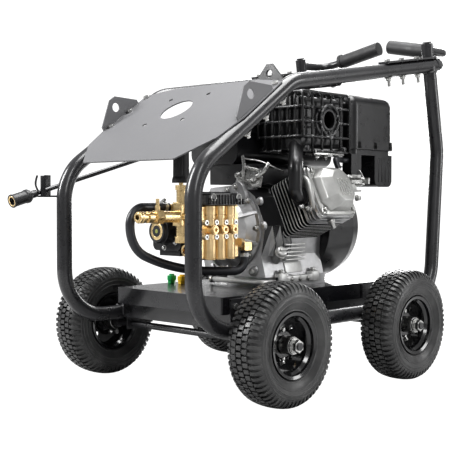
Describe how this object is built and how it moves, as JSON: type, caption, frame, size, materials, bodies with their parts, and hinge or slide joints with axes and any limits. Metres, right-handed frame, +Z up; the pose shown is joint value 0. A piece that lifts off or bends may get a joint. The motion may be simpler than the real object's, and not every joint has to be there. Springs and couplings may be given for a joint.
{
  "type": "pressure washer pump cart",
  "caption": "Petrol engine and direct-drive plunger pump on a four-wheel tube cart, pumping water through an unloader to a quick-connect outlet, with spray wand, tips and swing-out handles.",
  "frame": {"origin": "on the ground under the middle of the overall box", "axes": "+Z up, -Y towards the sloping front panel and pump, +Y towards the handles, +X towards the engine cylinder"},
  "size_m": [0.684, 1.1001, 0.8846],
  "materials": {
    "frame_black": "satin black powder coat",
    "panel_grey": "satin sheet",
    "tray_metal": "satin black paint",
    "zinc_steel": "zinc plated",
    "tyre_rubber": "moulded rubber",
    "rim_black": "gloss black",
    "grip_rubber": "moulded rubber",
    "hose_rubber": "smooth rubber",
    "gun_plastic": "textured plastic",
    "steel": "machined",
    "collar_brass": "machined",
    "tip_green": "coloured ring",
    "tip_yellow": "coloured ring",
    "pump_case": "black anodised casting",
    "manifold_metal": "dull forged",
    "engine_alloy": "cast",
    "engine_black": "black paint",
    "cover_plastic": "textured plastic",
    "knob_plastic": "ribbed plastic",
    "iron": "machined"
  },
  "bodies": {
    "machine": {"side_tube_left": "frame_black", "side_tube_right": "frame_black", "rear_bow": "frame_black", "lifting_bar": "frame_black", "base_tray": "tray_metal", "cross_channels": "frame_black", "front_panel": "panel_grey", "bolts": "zinc_steel", "axles": "frame_black", "axle_nuts": "zinc_steel", "pivot_plates": "frame_black", "pump_crankcase": "pump_case", "pump_manifold": "manifold_metal", "valve_caps": "manifold_metal", "pump_top_cover": "engine_black", "unloader": "collar_brass", "outlet_fitting": "collar_brass", "inlet_fittings": "collar_brass", "bypass_hose": "hose_rubber", "crankcase": "engine_alloy", "side_cover": "engine_alloy", "cylinder_head": "engine_alloy", "valve_cover": "engine_alloy", "muffler": "engine_black", "muffler_guard": "engine_black", "fuel_tank": "engine_black", "breather_hose": "hose_rubber", "fan_shroud": "engine_black", "air_cleaner_base": "cover_plastic", "carburettor": "engine_alloy", "recoil_housing": "engine_black"},
    "handle_left": {"handle_left": "frame_black", "grip_left": "grip_rubber"},
    "handle_right": {"handle_right": "frame_black", "grip_right": "grip_rubber"},
    "wand": {"lance": "frame_black", "gun": "gun_plastic"},
    "lance_collar": {"lance_collar": "knob_plastic"},
    "trigger": {"trigger": "gun_plastic"},
    "spray_tip_1": {"spray_tip_1": "tip_green"},
    "spray_tip_2": {"spray_tip_2": "tip_yellow"},
    "plunger_1": {"plunger_1": "steel"},
    "plunger_2": {"plunger_2": "steel"},
    "plunger_3": {"plunger_3": "steel"},
    "unloader_knob": {"unloader_knob": "knob_plastic"},
    "outlet_collar": {"outlet_collar": "collar_brass"},
    "drive": {"drive_shaft": "steel", "flywheel": "iron"},
    "fuel_cap": {"fuel_cap": "cover_plastic"},
    "air_cleaner_cover": {"air_cleaner_cover": "cover_plastic"},
    "throttle_lever": {"throttle_lever": "zinc_steel"},
    "recoil_grip": {"recoil_grip": "cover_plastic"},
    "wheel_front_left": {"tyre_front_left": "tyre_rubber", "rim_front_left": "rim_black"},
    "wheel_front_right": {"tyre_front_right": "tyre_rubber", "rim_front_right": "rim_black"},
    "wheel_rear_left": {"tyre_rear_left": "tyre_rubber", "rim_rear_left": "rim_black"},
    "wheel_rear_right": {"tyre_rear_right": "tyre_rubber", "rim_rear_right": "rim_black"}
  },
  "joints": [
    {"name": "wheel_front_left_spin", "type": "hinge", "parent": "machine", "child": "wheel_front_left", "pos_m": [-0.2903, -0.2556, 0.1325], "axis": [1, 0, 0], "continuous": true},
    {"name": "wheel_front_right_spin", "type": "hinge", "parent": "machine", "child": "wheel_front_right", "pos_m": [0.2903, -0.2556, 0.1325], "axis": [1, 0, 0], "continuous": true},
    {"name": "wheel_rear_left_spin", "type": "hinge", "parent": "machine", "child": "wheel_rear_left", "pos_m": [-0.2903, 0.1966, 0.1325], "axis": [1, 0, 0], "continuous": true},
    {"name": "wheel_rear_right_spin", "type": "hinge", "parent": "machine", "child": "wheel_rear_right", "pos_m": [0.2903, 0.1966, 0.1325], "axis": [1, 0, 0], "continuous": true},
    {"name": "drive_spin", "type": "hinge", "parent": "machine", "child": "drive", "pos_m": [-0.015, -0.0295, 0.363], "axis": [0, 1, 0], "continuous": true},
    {"name": "plunger_1_stroke", "type": "slide", "parent": "machine", "child": "plunger_1", "axis": [1, 0, 0], "range_m": [-0.006, 0.006]},
    {"name": "plunger_2_stroke", "type": "slide", "parent": "machine", "child": "plunger_2", "axis": [1, 0, 0], "range_m": [-0.006, 0.006]},
    {"name": "plunger_3_stroke", "type": "slide", "parent": "machine", "child": "plunger_3", "axis": [1, 0, 0], "range_m": [-0.006, 0.006]},
    {"name": "unloader_knob_turn", "type": "hinge", "parent": "machine", "child": "unloader_knob", "pos_m": [0.045, -0.3115, 0.5], "axis": [0, 0, 1], "range_deg": [-180, 180]},
    {"name": "outlet_collar_pull", "type": "slide", "parent": "machine", "child": "outlet_collar", "axis": [0, 1, 0], "range_m": [0, 0.008], "stiffness_N_per_m": 800, "springref_m": -0.003},
    {"name": "handle_left_swing", "type": "hinge", "parent": "machine", "child": "handle_left", "pos_m": [-0.214, 0.41934, 0.80601], "axis": [0, -0.1576, 0.9875], "range_deg": [0, 90]},
    {"name": "handle_right_swing", "type": "hinge", "parent": "machine", "child": "handle_right", "pos_m": [0.214, 0.41934, 0.80601], "axis": [0, -0.1576, 0.9875], "range_deg": [-90, 0]},
    {"name": "wand_lift", "type": "slide", "parent": "machine", "child": "wand", "axis": [0, 0, 1], "range_m": [0, 0.15]},
    {"name": "lance_collar_pull", "type": "slide", "parent": "wand", "child": "lance_collar", "axis": [0, 0.963, 0.2695], "range_m": [0, 0.01], "stiffness_N_per_m": 800, "springref_m": -0.003},
    {"name": "trigger_pull", "type": "hinge", "parent": "wand", "child": "trigger", "pos_m": [-0.262, 0.30444, 0.65468], "axis": [1, 0, 0], "range_deg": [0, 15], "stiffness_Nm_per_rad": 0.8, "springref_deg": -11.46},
    {"name": "spray_tip_1_lift", "type": "slide", "parent": "machine", "child": "spray_tip_1", "axis": [0, 0, 1], "range_m": [0, 0.04]},
    {"name": "spray_tip_2_lift", "type": "slide", "parent": "machine", "child": "spray_tip_2", "axis": [0, 0, 1], "range_m": [0, 0.04]},
    {"name": "fuel_cap_lift", "type": "slide", "parent": "machine", "child": "fuel_cap", "axis": [0, 0, 1], "range_m": [0, 0.08]},
    {"name": "air_cleaner_cover_lift", "type": "slide", "parent": "machine", "child": "air_cleaner_cover", "axis": [0, 0, 1], "range_m": [0, 0.15]},
    {"name": "throttle_turn", "type": "hinge", "parent": "machine", "child": "throttle_lever", "pos_m": [0.161, 0.1545, 0.48], "axis": [1, 0, 0], "range_deg": [-12, 15]},
    {"name": "recoil_grip_pull", "type": "slide", "parent": "machine", "child": "recoil_grip", "axis": [-0.9806, 0, 0.1961], "range_m": [0, 0.5], "stiffness_N_per_m": 20, "springref_m": -0.05}
  ]
}
